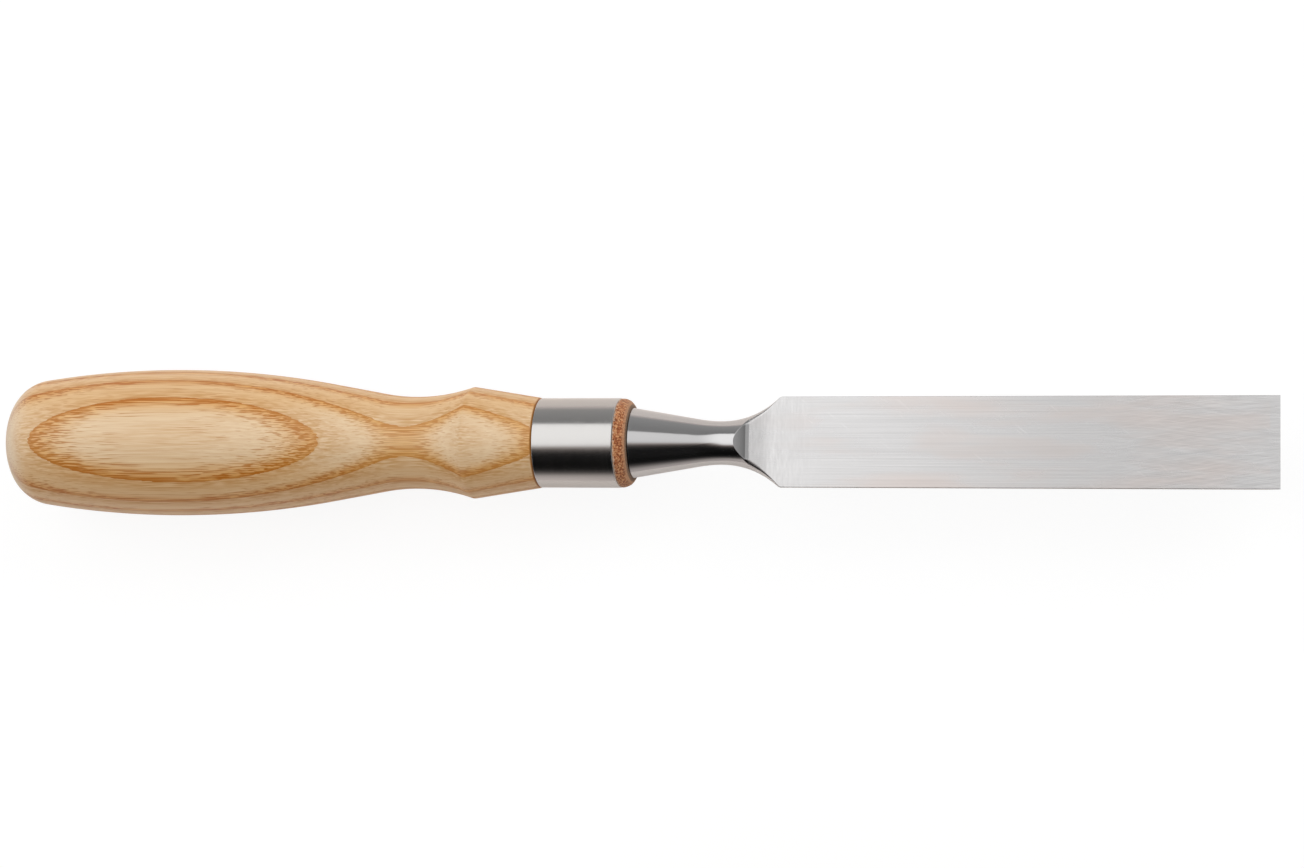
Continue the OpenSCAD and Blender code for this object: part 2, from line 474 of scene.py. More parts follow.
    def darkness(self, tree: Tree, place: tuple[Socket, ...], year: Socket) -> Socket:
        """Finds how dark pores and the line between two years make the wood.

        Args:
            tree: Node tree that takes the nodes.
            place: Position in millimetres from the axis at the belly, and its parts along X, Y and Z.
            year: How far through its year the wood is.

        Returns:
            Socket that goes from 0 in plain wood to 1 in the darkest pore.
        """
        local, x, _, _ = place
        needed = add_node(tree, "MapRange", (year, *self.pore_width), **SOFT)
        spare = add_node(tree, "Math", (self.pores.lay(tree, local), needed), operation="SUBTRACT")
        dash = add_node(tree, "MapRange", (spare, *self.pore_rim), **SOFT)
        broken = add_node(tree, "MapRange", (self.breaks.lay(tree, local), *self.break_tone))
        line = add_node(tree, "MapRange", (year, *self.line, broken, 0.0), **SOFT)
        dark = add_node(tree, "Math", (dash, line), operation="MAXIMUM")
        for value, curve in ((year, self.pore_fade), (x, self.slow_growth)):
            share = add_node(tree, "MapRange", (value, *curve))
            dark = add_node(tree, "Math", (dark, share), **TIMES)
        return dark

    def build(self, axis_z: float, butt_x: float, belly_x: float, joint_x: float) -> bpy.types.Material:
        """Makes the material.

        Args:
            axis_z: Height of the tool's axis in millimetres.
            butt_x: Station of the butt.
            belly_x: Station of the thickest part, where the top layer was measured.
            joint_x: Station of the joint with the ferrule, where lacquer pooled.

        Returns:
            The material.
        """
        material, tree = new_material("lacquered_turned_ash")
        place = position_mm(tree, (belly_x, 0.0, axis_z))
        local, x, y, _ = place
        year = self.year(tree, place)
        dark = self.darkness(tree, place, year)
        fibre = add_node(tree, "MapRange", (self.fibres.lay(tree, local), *self.fibre_tone))
        vessel = add_node(tree, "MapRange", (self.vessels.lay(tree, local), *self.vessel_tone))
        late = add_node(tree, "MapRange", (year, *self.dense_tone), **SOFT)
        dense = add_node(tree, "Math", (late, vessel), **TIMES)
        early = add_node(tree, "MapRange", (year, *self.early_tone), **SOFT)
        pool = add_node(tree, "MapRange", (x, *moved(self.pool_tone, joint_x - belly_x)), **SOFT)
        aside = add_node(tree, "Math", (y,), operation="ABSOLUTE")
        # Painted shade: both flanks darker and more saturated than the top.
        flank = add_node(tree, "MapRange", (aside, *self.painted_flank_shade), **SOFT)
        end = add_node(tree, "MapRange", (x, *moved(self.butt_tone, butt_x - belly_x)), **SOFT)
        wood = linear(self.pale)
        for share, shade, blend in (
            (fibre, self.fibre, "MIX"),
            (dense, self.dense, "MIX"),
            (early, self.early, "MIX"),
            (dark, self.pore, "MIX"),
            (pool, self.pooled, "MIX"),
            (flank, self.flank, "MULTIPLY"),
            (end, self.end_grain, "MIX"),
        ):
            inputs = {0: share, 6: wood, 7: linear(shade)}
            wood = add_node(tree, "Mix", inputs, 2, blend_type=blend, **RGBA)
        coat = {"Coat Weight": self.coat, "Coat Roughness": self.coat_roughness}
        inputs = {"Base Color": wood, "Roughness": self.roughness, "IOR": self.ior, **coat}
        self.grooves.surface(tree, dark, inputs)
        return material


@dataclass(frozen=True)
class PolishedTubeSteel:
    """Stainless tube, cut and polished as it turned on a lathe.

    Polishing leaves a bright skin with faint lines round the tube, which spread reflections along it.
    """

    steel: str = "BCBAB8"
    # Polishing lines are finer in life, and are drawn coarser to show.
    lines: Grain = Grain((0.12, 9.0, 9.0), 3.0, 0.6)
    gloss: Curve = (0.3, 0.7, 0.13, 0.23)
    relief: Relief = Relief(0.01, 0.06)

    def build(self) -> bpy.types.Material:
        """Makes the material.

        Returns:
            The material.
        """
        material, tree = new_material("polished_stainless_tube")
        lines = self.lines.lay(tree, position_mm(tree)[0])
        rough = add_node(tree, "MapRange", (lines, *self.gloss))
        inputs = {"Base Color": linear(self.steel), "Metallic": 1.0, "Roughness": rough}
        self.relief.surface(tree, lines, inputs)
        return material


@dataclass(frozen=True)
class GroundBladeSteel:
    """Tool steel, forged, ground on wheels and polished, with a flat back lapped along its length.

    Lapping leaves a grey silk of long fine scratches with cloudy patches, and the neck and the ramp keep a
    brighter, smoother polish with faint lines round it.
    """

    steel: str = "BCBBBB"
    cool: str = "BEBDBD"
    warm: str = "C4BBB7"
    # Grime and painted shade in the corner at the bolster.
    grime_and_shade: str = "46362B"
    polished: float = 0.13
    # Lapping lines are a few hundredths of a millimetre wide in life, and are drawn coarser to show.
    laps: Grain = Grain((45.0, 0.27, 0.27), 4.0, 0.7)
    lap_tone: Curve = (0.1, 0.9, 0.84, 1.16)
    # Near the cutting edge the back was lapped by hand, in short strokes that sway a little and cross.
    strokes: Grain = Grain((6.0, 0.27, 0.27), 2.0, 0.6)
    stroke_degs: Pair = (-8.0, 5.0)
    stroke_tone: Curve = (0.35, 0.65, 0.22, 0.78)
    sway: Grain = Grain((13.0, 9.0, 9.0), 0.0)
    sway_mm: float = 1.2
    # Next to the shoulders it was ground across, and the neck was polished as it turned.
    mottle: Grain = Grain((0.5, 3.0, 3.0), 2.0)
    rounds: Grain = Grain((0.13, 14.0, 14.0), 2.0)
    # A few scratches run aslant where the blade was wiped across a stone.
    scratches: Grain = Grain((6.0, 0.3, 6.0), 1.0)
    scratch_deg: float = 38.0
    scratch_tone: Curve = (0.7, 0.8, 0.0, 0.12)
    # Clouds on the back change its tint and its gloss. Handling leaves a warmer film along both long edges.
    clouds: Grain = Grain((34.0, 7.0, 7.0), 3.0)
    cloud_tint: Curve = (0.36, 0.66, -0.36, 0.46)
    cloud_gloss: Curve = (0.3, 0.7, 0.23, 0.32)
    film: Curve = (1.5, 8.0, 0.0, 0.35)
    # Stretches counted from where the flat back starts: the lapped back, and its part ground across.
    lapped: Curve = (-0.3, 0.1, 0.0, 1.0)
    ground: Curve = (18.0, 5.0, 0.0, 0.8)
    # Stretches counted from the cutting edge: all but the honed last two millimetres, the part lapped by
    # hand, and brighter wear towards both ends.
    unhoned: Curve = (-1.9, -2.3, 0.0, 1.0)
    by_hand: Curve = (-50.0, -18.0, 0.0, 1.0)
    root_wear: Curve = (-39.75, -84.75, 0.0, 0.075)
    edge_wear: Curve = (-26.0, -2.0, 0.0, 0.06)
    # Oil and dust from the polishing wheel stay in the corner between the bolster's seat and the washer.
    # The same dark colour paints the shade of that crevice, and covers the bolster's rounded rim, where a
    # highlight would show.
    corner: Curve = (0.38, 0.2, 0.0, 1.0)
    relief: Relief = Relief(0.01, 0.1)

    def turned(self, tree: Tree, place: Socket, pattern: Grain, degrees: float) -> Socket:
        """Lays a pattern out at an angle to the blade."""
        inputs = {"Vector": place, "Angle": math.radians(degrees)}
        return pattern.lay(tree, add_node(tree, "VectorRotate", inputs, rotation_type="Z_AXIS"))

    def build(self, seat_x: float, flat_x: float, tip_x: float) -> bpy.types.Material:
        """Makes the material.

        Args:
            seat_x: Station of the bolster's seat on the washer.
            flat_x: Station where the flat back starts.
            tip_x: Station of the cutting edge.

        Returns:
            The material.
        """
        material, tree = new_material("ground_and_lapped_tool_steel")
        local, x, y, _ = position_mm(tree)
        lapped, ground, unhoned, hand, root, edge, corner = (
            add_node(tree, "MapRange", (x, *moved(stretch, origin)), **SOFT)
            for stretch, origin in (
                (self.lapped, flat_x),
                (self.ground, flat_x),
                (self.unhoned, tip_x),
                (self.by_hand, tip_x),
                (self.root_wear, tip_x),
                (self.edge_wear, tip_x),
                (self.corner, seat_x),
            )
        )
        swayed = (self.sway.lay(tree, local), (0.0, self.sway_mm, 0.0), local)
        bent = add_node(tree, "VectorMath", swayed, **TIMES_PLUS)
        crossed = 0.0
        for degrees in self.stroke_degs:
            stroke = self.turned(tree, bent, self.strokes, degrees)
            crossed = add_node(tree, "Math", (stroke, 1 / len(self.stroke_degs), crossed), **TIMES_PLUS)
        strokes = add_node(tree, "MapRange", (crossed, *self.stroke_tone))
        lap = self.laps.lay(tree, local)
        for share, lines in ((hand, strokes), (ground, self.mottle.lay(tree, local))):
            lap = add_node(tree, "Mix", {0: share, 2: lap, 3: lines}, data_type="FLOAT")
        cloud = self.clouds.lay(tree, local)
        tint = add_node(tree, "MapRange", (cloud, *self.cloud_tint), **SOFT)
        aside = add_node(tree, "Math", (y,), operation="ABSOLUTE")
        film = add_node(tree, "MapRange", (aside, *self.film), **SOFT)
        tint = add_node(tree, "Math", (tint, film), operation="ADD", use_clamp=True)
        for share in (unhoned, add_node(tree, "Math", (1.0, ground), operation="SUBTRACT")):
            tint = add_node(tree, "Math", (tint, share), **TIMES)
        tinted = add_node(tree, "Mix", {0: tint, 6: linear(self.cool), 7: linear(self.warm)}, 2, **RGBA)
        wiped = self.turned(tree, local, self.scratches, self.scratch_deg)
        scratch = add_node(tree, "MapRange", (wiped, *self.scratch_tone), **SOFT)
        tone = add_node(tree, "MapRange", (lap, *self.lap_tone))
        for gain in (scratch, root, edge):
            tone = add_node(tree, "Math", (gain, tone), operation="ADD")
        lined = add_node(tree, "VectorMath", {0: tinted, "Scale": tone}, operation="SCALE")
        colour = linear(self.steel)
        # The corner at the bolster is painted dark: grime and painted shade.
        for share, shade in ((lapped, lined), (corner, linear(self.grime_and_shade))):
            colour = add_node(tree, "Mix", {0: share, 6: colour, 7: shade}, 2, **RGBA)
        gloss = add_node(tree, "MapRange", (cloud, *self.cloud_gloss))
        rough, lines = (
            add_node(tree, "Mix", {0: lapped, 2: neck, 3: back}, data_type="FLOAT")
            for neck, back in ((self.polished, gloss), (self.rounds.lay(tree, local), lap))
        )
        self.relief.surface(tree, lines, {"Base Color": colour, "Metallic": 1.0, "Roughness": rough})
        return material


@dataclass(frozen=True)
class TannedLeather:
    """Vegetable tanned sole leather, punched out and pared round its front edge.

    The cut edge shows a felt of brown fibres with pale ends, and both skins of the hide show as paler rims.
    """

    core: str = "AE6438"
    fleck: str = "D29A6A"
    deep: str = "66300F"
    skin: str = "C3916C"
    rim: str = "E0C8B0"
    # Grime and painted shade at the bolster.
    grime_and_shade: str = "3A2414"
    roughness: float = 0.8
    ior: float = 1.45
    sheen: float = 0.6
    sheen_roughness: float = 0.5
    # Bundles of fibres are cut across, and show as pale ends between dark gaps.
    fibres: Grain = Grain((0.42, 0.42, 0.42), 1.5, 0.6)
    fleck_tone: Curve = (0.5, 0.6, 0.0, 1.0)
    deep_tone: Curve = (0.48, 0.41, 0.0, 0.7)
    relief: Relief = Relief(0.25, 0.9)
    # Coarser bundles fray the edges of both skins. The rim is counted from the face on the ferrule, and the
    # skin and the dark band on it from the face on the bolster. That band is partly grime and partly painted
    # shade of the crevice at the bolster.
    bundles: Grain = Grain((0.5, 0.5, 0.5), 2.0)
    fray_mm: float = 1.4
    rim_tone: Curve = (1.05, 0.8, 0.0, 0.65)
    skin_tone: Curve = (-0.15, 0.45, 0.0, 0.75)
    grime_and_shade_tone: Curve = (-0.22, -0.05, 0.0, 0.8)

    def build(self, start_x: float, end_x: float) -> bpy.types.Material:
        """Makes the material.

        Args:
            start_x: Station of the washer's face on the ferrule.
            end_x: Station of its face on the bolster.

        Returns:
            The material.
        """
        material, tree = new_material("vegetable_tanned_leather")
        local, x, _, _ = position_mm(tree)
        fibres = self.fibres.lay(tree, local)
        frayed = add_node(tree, "Math", (self.bundles.lay(tree, local), self.fray_mm, x), **TIMES_PLUS)
        colour = linear(self.core)
        for shade, value, tone in (
            (self.fleck, fibres, self.fleck_tone),
            (self.deep, fibres, self.deep_tone),
            (self.skin, frayed, moved(self.skin_tone, end_x)),
            (self.rim, frayed, moved(self.rim_tone, start_x)),
            # Grime and painted shade at the bolster.
            (self.grime_and_shade, x, moved(self.grime_and_shade_tone, end_x)),
        ):
            share = add_node(tree, "MapRange", (value, *tone), **SOFT)
            colour = add_node(tree, "Mix", {0: share, 6: colour, 7: linear(shade)}, 2, **RGBA)
        inputs = {"Base Color": colour, "Roughness": self.roughness, "IOR": self.ior}
        sheen = {"Sheen Weight": self.sheen, "Sheen Roughness": self.sheen_roughness}
        self.relief.surface(tree, fibres, {**inputs, **sheen, "Sheen Tint": linear(self.rim)})
        return material


# Pieces


@dataclass(frozen=True)
class Stations:
    """Where the pieces meet along the tool, and the height of its axis, in millimetres."""

    butt: float
    joint: float
    washer: float
    seat: float
    tip: float
    axis_z: float

    @classmethod
    def from_frame(cls) -> Stations:
        """Reads the stations from the CAD nodes' boxes, to a hundredth of a millimetre.

        Returns:
            The stations.
        """
        handle, ferrule, washer, blade = map(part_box, ("handle", "ferrule", "leather_washer", "blade"))
        axis_z = (handle[0].z + handle[1].z) / 2
        places = (handle[0].x, ferrule[0].x, washer[0].x, washer[1].x, blade[1].x, axis_z)
        return cls(*(round(place / MM, 2) for place in places))


def place_piece(
    piece: bpy.types.Object, node: str, material: bpy.types.Material
) -> bpy.types.Object:
    """Dresses a piece and puts it in its CAD node's place.

    Args:
        piece: The new piece.
        node: CAD node that it stands for.
        material: Its material.

    Returns:
        The piece.
    """
    piece.data.materials.append(material)
    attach(piece, Body.ROOT.value)
    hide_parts(node)
    return piece


@dataclass
class Handle:
    """Turned ash handle with its tenon and the hole for the tang."""

    at: Stations
    belly_d: float = 33.7
    belly_pos: float = 39.8
    waist_d: float = 20.9
    waist_pos: float = 29.0
    waist_r: float = 42.0
    flank_len: float = 12.5
    ridge_d: float = 25.3
    collar_d: float = 20.3
    butt_round: float = 9.0
    butt_dome_r: float = 41.0
    tenon_d: float = 17.66
    bore_d: float = 10.2
    bore_len: float = 76.0
    ridge_soft: float = 0.35
    collar_soft: float = 0.5
    # Stretches along the dome, its corner, the belly and the waist, and round the axis.
    steps: tuple[int, int, int, int] = (10, 24, 60, 30)
    segments: int = 240
    finish: LacqueredAsh = LacqueredAsh()

    def outline(self) -> Outline:
        """Outline from the butt to the tenon, then back along the bore.

        Returns:
            Points of [station, radius], in the CAD frame's stations.
        """
        grip_len = self.at.joint - self.at.butt
        end = self.at.washer - self.at.butt
        waist_x = grip_len - self.waist_pos
        run = waist_x - self.belly_pos
        drop = (self.belly_d - self.waist_d) / 2
        # Belly and waist are circles that a straight flank of a given length joins.
        both = (run**2 + drop**2 - self.flank_len**2) / (2 * drop)
        belly_r = both - self.waist_r
        belly_c = (self.belly_pos, self.belly_d / 2 - belly_r)
        waist_c = (waist_x, self.waist_d / 2 + self.waist_r)
        flank = math.atan2(waist_c[1] - belly_c[1], run) + math.acos(both / math.dist(belly_c, waist_c))
        # A smaller circle rounds the corner between the butt's dome and the belly.
        dome_c = (self.butt_dome_r, 0.0)
        corner_c = self.meet(belly_c, belly_r - self.butt_round, dome_c, self.butt_dome_r - self.butt_round)
        dome_end = math.atan2(corner_c[1] - dome_c[1], corner_c[0] - dome_c[0])
        belly_start = math.atan2(corner_c[1] - belly_c[1], corner_c[0] - belly_c[0])
        ridge_dy = waist_c[1] - self.ridge_d / 2
        ridge = math.atan2(-ridge_dy, math.sqrt(self.waist_r**2 - ridge_dy**2))
        n_dome, n_corner, n_belly, n_waist = self.steps
        points = arc(dome_c, self.butt_dome_r, math.pi, dome_end, n_dome)
        points += arc(corner_c, self.butt_round, dome_end, belly_start, n_corner)[1:]
        points += arc(belly_c, belly_r, belly_start, flank, n_belly)[1:]
        points += arc(waist_c, self.waist_r, flank - math.pi, ridge, n_waist)
        tip = points.pop()
        collar = (grip_len, self.collar_d / 2)
        shoulder = (grip_len, self.tenon_d / 2)
        points += self.softened(points[-1], tip, collar, self.ridge_soft)
        points += [between(points[-1], collar, t) for t in (0.33, 0.66)]
        points += self.softened(points[-1], collar, shoulder, self.collar_soft)
        points += [shoulder, (end, self.tenon_d / 2), (end, self.bore_d / 2)]
        points += [(end - self.bore_len, self.bore_d / 2), (end - self.bore_len, 0.0)]
        return [(x + self.at.butt, r) for x, r in points]

    @staticmethod
    def meet(a: Pair, ra: float, b: Pair, rb: float) -> Pair:
        """Upper point at distance ra from a and rb from b.

        Args:
            a: First centre.
            ra: Distance from it.
            b: Second centre.
            rb: Distance from that.

        Returns:
            The point.
        """
        gap = math.dist(a, b)
        ex, ey = (b[0] - a[0]) / gap, (b[1] - a[1]) / gap
        along = (ra**2 - rb**2 + gap**2) / (2 * gap)
        aside = math.sqrt(ra**2 - along**2)
        ends = [(a[0] + along * ex - s * ey, a[1] + along * ey + s * ex) for s in (aside, -aside)]
        return max(ends, key=lambda p: p[1])

    @staticmethod
    def softened(before: Pair, corner: Pair, after: Pair, reach: float) -> Outline:
        """Rounds a corner of the outline.

        Args:
            before: Point before the corner.
            corner: The corner.
            after: Point after it.
            reach: Distance from the corner at which the rounding starts, or nearly all of a shorter side.

        Returns:
            Five points that stand for the corner.
        """
        nearly_all = 0.9
        lengths = [math.dist(corner, end) for end in (before, after)]
        shares = [min(reach, length * nearly_all) / length for length in lengths]
        a, b = between(corner, before, shares[0]), between(corner, after, shares[1])
        return [bend(a, corner, b, i / 4) for i in range(5)]

    def build(self) -> bpy.types.Object:
        """Builds and dresses the handle.

        Returns:
            The piece.
        """
        at = self.at
        piece = lathe("ash_handle", self.outline(), at.axis_z, self.segments, hollow=False)
        material = self.finish.build(at.axis_z, at.butt, at.butt + self.belly_pos, at.joint)
        return place_piece(piece, "handle", material)


@dataclass
class Ferrule:
    """Plain steel tube on the handle's tenon."""

    at: Stations
    outer_d: float = 20.1
    wall: float = 1.2
    edge: float = 0.3
    edge_steps: int = 6
    segments: int = 240
    finish: PolishedTubeSteel = PolishedTubeSteel()

    def outline(self) -> Outline:
        """Closed outline of the tube's wall, with rounded outer edges.

        Returns:
            Points of [station, radius].
        """
        outer, inner = self.outer_d / 2, self.outer_d / 2 - self.wall
        start_x, end_x = self.at.joint, self.at.washer
        edge, steps = self.edge, self.edge_steps
        points = [(start_x, inner)]
        points += arc((start_x + edge, outer - edge), edge, math.pi, math.pi / 2, steps)
        points += [between((start_x, outer), (end_x, outer), t) for t in (0.25, 0.5, 0.75)]
        points += arc((end_x - edge, outer - edge), edge, math.pi / 2, 0, steps)
        return points + [(end_x, inner)]

    def build(self) -> bpy.types.Object:
        """Builds and dresses the ferrule."""
        piece = lathe("steel_ferrule", self.outline(), self.at.axis_z, self.segments, hollow=True)
        return place_piece(piece, "ferrule", self.finish.build())


@dataclass
class LeatherWasher:
    """Thick leather ring between the ferrule and the bolster."""

    at: Stations
    outer_d: float = 20.0
    hole_d: float = 10.4
    rounding: float = 1.9
    pared: float = 2.4
    back_edge: float = 0.15
    fray: float = 0.06
    # Dips round the cut edge: how many, how far they turn per millimetre along the tool, and their start.
    waves: tuple[Triple, ...] = ((7, 1.3, 0.0), (17, -2.4, 2.1), (41, 3.7, 0.0))
    # Stretches along the back edge and along the pared front, and round the axis.
    steps: tuple[int, int] = (4, 16)
    segments: int = 256
    finish: TannedLeather = TannedLeather()

    def outline(self) -> Outline:
        """Closed outline of the ring, pared round towards the bolster.

        Returns:
            Points of [station, radius].
        """
        rim, bore, edge = self.outer_d / 2, self.hole_d / 2, self.back_edge
        start_x, end_x = self.at.washer, self.at.seat
        n_edge, n_front = self.steps
        points = [(start_x, bore), (start_x, (bore + rim) / 2)]
        points += arc((start_x + edge, rim - edge), edge, math.pi, math.pi / 2, n_edge)
        for up, out in arc((0.0, 0.0), 1.0, 0.0, math.pi / 2, n_front):
            points.append((end_x - self.pared * (1 - out), rim - self.rounding * (1 - up)))
        return points + [(end_x, (bore + rim - self.rounding) / 2), (end_x, bore)]

    def ragged(self, x: float, radius: float, angle: float) -> float:
        """Small dips round the cut edge.

        Args:
            x: Station along the tool.
            radius: Radius before the shift.
            angle: Angle round the axis.

        Returns:
            Shift of the radius, never outwards.
        """
        if radius < self.outer_d / 2 - self.rounding:
            return 0.0
        wave = sum(math.sin(count * angle + phase + twist * x) for count, twist, phase in self.waves)
        return self.fray * (wave / len(self.waves) - 1)

    def build(self) -> bpy.types.Object:
        """Builds and dresses the washer.

        Returns:
            The piece.
        """
        axis_z = self.at.axis_z
        piece = lathe("leather_ring", self.outline(), axis_z, self.segments, hollow=True, shift=self.ragged)
        material = self.finish.build(self.at.washer, self.at.seat)
        return place_piece(piece, "leather_washer", material)


def dip(radius: float, away: float) -> float:
    """How far a circle has left its tangent at a distance along it."""
    return radius - math.sqrt(radius**2 - away**2)


def boundary(holds: Callable[[float], bool], outside: float, inside: float) -> float:
    """Finds where a test starts to hold.

    Args:
        holds: The test.
        outside: Value for which it doesn't hold.
        inside: Value for which it does.

    Returns:
        The value next to the boundary for which it holds.
    """
    for _ in range(60):
        middle = (outside + inside) / 2
        outside, inside = (outside, middle) if holds(middle) else (middle, inside)
    return inside


@dataclass
class Blade:
    """Bevelled blade, round neck, bolster and tang, lofted through cross sections along the tool."""

    at: Stations
    neck_len: float = 33.7
    neck_pos: float = 20.2
    width: float = 20.0
    thick: float = 5.2
    tip_thick: float = 4.0
    back_h: float = 3.2
    land_h: float = 1.5
    side_bevel_deg: float = 35.0
    cutting_bevel_deg: float = 25.0
    bolster_d: float = 15.7
    neck_d: float = 9.7
    neck_wheel_r: float = 30.0
    back_pos: float = 26.9
    back_run: float = 5.0
    back_wheel_r: float = 21.0
    ramp_deg: float = 23.0
    ramp_foot: float = 0.8
    ramp_len: float = 2.4
    ramp_swell: float = 0.07
    face_wheel_r: float = 26.0
    face_back: float = 1.0
    bevel_wheel_r: float = 18.0
    bevel_back: float = 2.5
    tang_w: float = 7.0
    tang_end_w: float = 4.0
    tang_len: float = 74.0
    # Share of a wheel's radius over which its cut counts, and how far past the shoulders the cove's does.
    wheel_share: float = 0.98
    cove_past: float = 1.5
    # Rounding of the long edges, of the flat back's edge at the flare, and of the shoulders.
    edge_reach: float = 0.1
    flare_reach: float = 0.8
    corner_soft: float = 0.55
    # Where the flare's softer edge sets in, from and to, and ends, from and to. The last is counted from the
    # shoulders, the others from the ramp's foot.
    flare_soft: tuple[float, float, float, float] = (-1.8, 0.2, 1.5, 0.8)
    # Distance from the seat and inset of the rings round the bolster's rim.
    rim: tuple[Pair, ...] = ((0.0, 0.6), (0.1, 0.55), (0.14, 0.06), (0.2, 0.0))
    # The cutting edge is honed to a thickness of about two hundredths of a millimetre, over this length.
    honed: float = 0.04
    # Stretches along the top, flank, bevel and bottom side of half a cross section, the angles round the
    # bolster at which the last three start, in degrees from the top, and the length along which they do.
    counts: tuple[int, int, int, int] = (14, 28, 10, 14)
    round_degs: Triple = (20.0, 120.0, 150.0)
    even_len: float = 6.0
    # Points next to a rounded corner, in shares of its reach, and the largest share of a side that it takes.
    # Sides shorter than the last length have no corner to round.
    corner_steps: tuple[float, ...] = (0.0, 0.5, 1.0, 1.25)
    corner_most: float = 0.3
    shortest: float = 1e-6
    # Angle in radians below which a corner draws the flank's points along, and by what power it does at 0.
    slip_angle: float = 0.7
    slip_power: float = 3.0
    # Step between cross sections at a crease, and length of a tongue's tip on the neck with closer ones.
    crease: float = 0.04
    tongue: float = 0.12
    # Points closer than this become one, faces thinner than this go, and edges sharper than this stay.
    weld: float = 0.0008
    sliver: float = 0.0005
    sharp_deg: float = 32.0
    finish: GroundBladeSteel = GroundBladeSteel()
    # Stations, radii, slopes and angles that follow from the sizes.
    seat_x: float = field(init=False)
    tip_x: float = field(init=False)
    middle_x: float = field(init=False)
    foot_x: float = field(init=False)
    shoulder_x: float = field(init=False)
    half: float = field(init=False)
    flare_r: float = field(init=False)
    clear: float = field(init=False)
    cove_r: float = field(init=False)
    taper: float = field(init=False)
    taper_end_x: float = field(init=False)
    fall: float = field(init=False)
    cut: float = field(init=False)
    heel_x: float = field(init=False)

    def __post_init__(self) -> None:
        """Works out the stations and the neck's cove."""
        self.seat_x, self.tip_x = self.at.seat, self.at.tip
        self.middle_x = self.seat_x + self.neck_pos
        self.foot_x = self.seat_x + self.back_pos
        self.shoulder_x = self.seat_x + self.neck_len
        self.half = self.width / 2
        self.flare_r = math.hypot(self.half, self.back_h)
        # A distance that clears the whole bar, where a wheel cuts nothing.
        self.clear = 10 * self.flare_r
        run = self.neck_len - self.neck_pos
        rise = self.flare_r - self.neck_d / 2
        self.cove_r = (run**2 + rise**2) / (2 * rise)
        # Towards the bolster the neck was ground on a wider wheel, so it runs into its taper slowly.
        wheel = self.neck_wheel_r
        dx, dr = self.neck_pos, self.neck_d / 2 + wheel - self.bolster_d / 2
        self.taper = math.atan2(dr, dx) - math.asin(wheel / math.hypot(dx, dr))
        self.taper_end_x = self.seat_x + math.sqrt(dx**2 + dr**2 - wheel**2) * math.cos(self.taper)
        self.fall = math.atan((self.thick - self.tip_thick) / (self.tip_x - self.shoulder_x))
        self.cut = math.tan(math.radians(self.cutting_bevel_deg))
        self.heel_x = self.tip_x - self.thick_at(self.tip_x) / self.cut

    def thick_at(self, x: float) -> float:
        """Thickness of the blade at a station, before the cutting bevel."""
        return self.thick - (x - self.shoulder_x) * math.tan(self.fall)

    def radius(self, x: float) -> float:
        """Radius of the turned neck.

        Args:
            x: Station along the tool.

        Returns:
            The radius there, or one that clears the bar past the flare.
        """
        if x <= self.taper_end_x:
            return self.bolster_d / 2 + (x - self.seat_x) * math.tan(self.taper)
        if x <= self.shoulder_x + self.cove_past:
            wheel = self.neck_wheel_r if x < self.middle_x else self.cove_r
            return self.neck_d / 2 + dip(wheel, x - self.middle_x)
        return self.clear

    def top(self, x: float) -> float:
        """Height of the flat back, its run-out, the ramp's foot and the ramp, which is steeper at its foot.

        Args:
            x: Station along the tool.

        Returns:
            Height over the axis there.
        """
        if x >= self.foot_x:
            return self.back_h + dip(self.back_wheel_r, max(0.0, self.foot_x + self.back_run - x))
        foot_h = self.back_h + dip(self.back_wheel_r, self.back_run)
        slope = math.tan(math.radians(self.ramp_deg))
        foot_slope = (slope + math.tan(math.asin(self.back_run / self.back_wheel_r))) / 2
        up = self.foot_x - self.ramp_foot - x
        if up <= 0:
            return foot_h + (self.foot_x - x) * foot_slope
        swell = self.ramp_swell * max(0.0, 1 - up / self.ramp_len)
        return foot_h + self.ramp_foot * foot_slope + up * (slope + swell)

    def bottom(self, x: float) -> float:
        """Height of the bevelled side or of the cutting bevel.

        Args:
            x: Station along the tool.

        Returns:
            Height over the axis there, or one that clears the bar where nothing is cut.
        """
        wheel = self.face_wheel_r
        lift_x = self.shoulder_x - self.face_back
        cx = lift_x + wheel * math.sin(self.fall)
        if x < cx - wheel * self.wheel_share:
            return -self.clear
        if x < lift_x:
            cz = self.back_h - self.thick_at(lift_x) - wheel * math.cos(self.fall)
            return cz + math.sqrt(wheel**2 - (x - cx) ** 2)
        return self.back_h - min(self.thick_at(x), (self.tip_x - x) * self.cut)

    def bevel_at(self, x: float, z: float) -> float:
        """Half width that the side bevel leaves.

        Args:
            x: Station along the tool.
            z: Height over the axis.

        Returns:
            The half width there, or one that clears the bar where nothing is cut.
        """
        slope = math.radians(self.side_bevel_deg)
        reach = self.half * math.sin(slope) - (self.back_h - self.land_h) * math.cos(slope)
        lift = self.shoulder_x - self.bevel_back - x
        if lift > self.bevel_wheel_r * self.wheel_share:
            return self.clear
        if lift > 0:
            reach += dip(self.bevel_wheel_r, lift)
        return (reach + z * math.cos(slope)) / math.sin(slope)

    def flank_at(self, x: float, z: float) -> float:
        """Half width of the neck or of the square bar, rounded where one meets the other.

        Args:
            x: Station along the tool.
            z: Height over the axis.

        Returns:
            The half width there.
        """
        turned = math.sqrt(max(0.0, self.radius(x) ** 2 - z * z))
        near = max(0.0, 1 - abs(self.half - turned) / self.corner_soft)
        return min(self.half, turned) - near**2 * self.corner_soft / 4

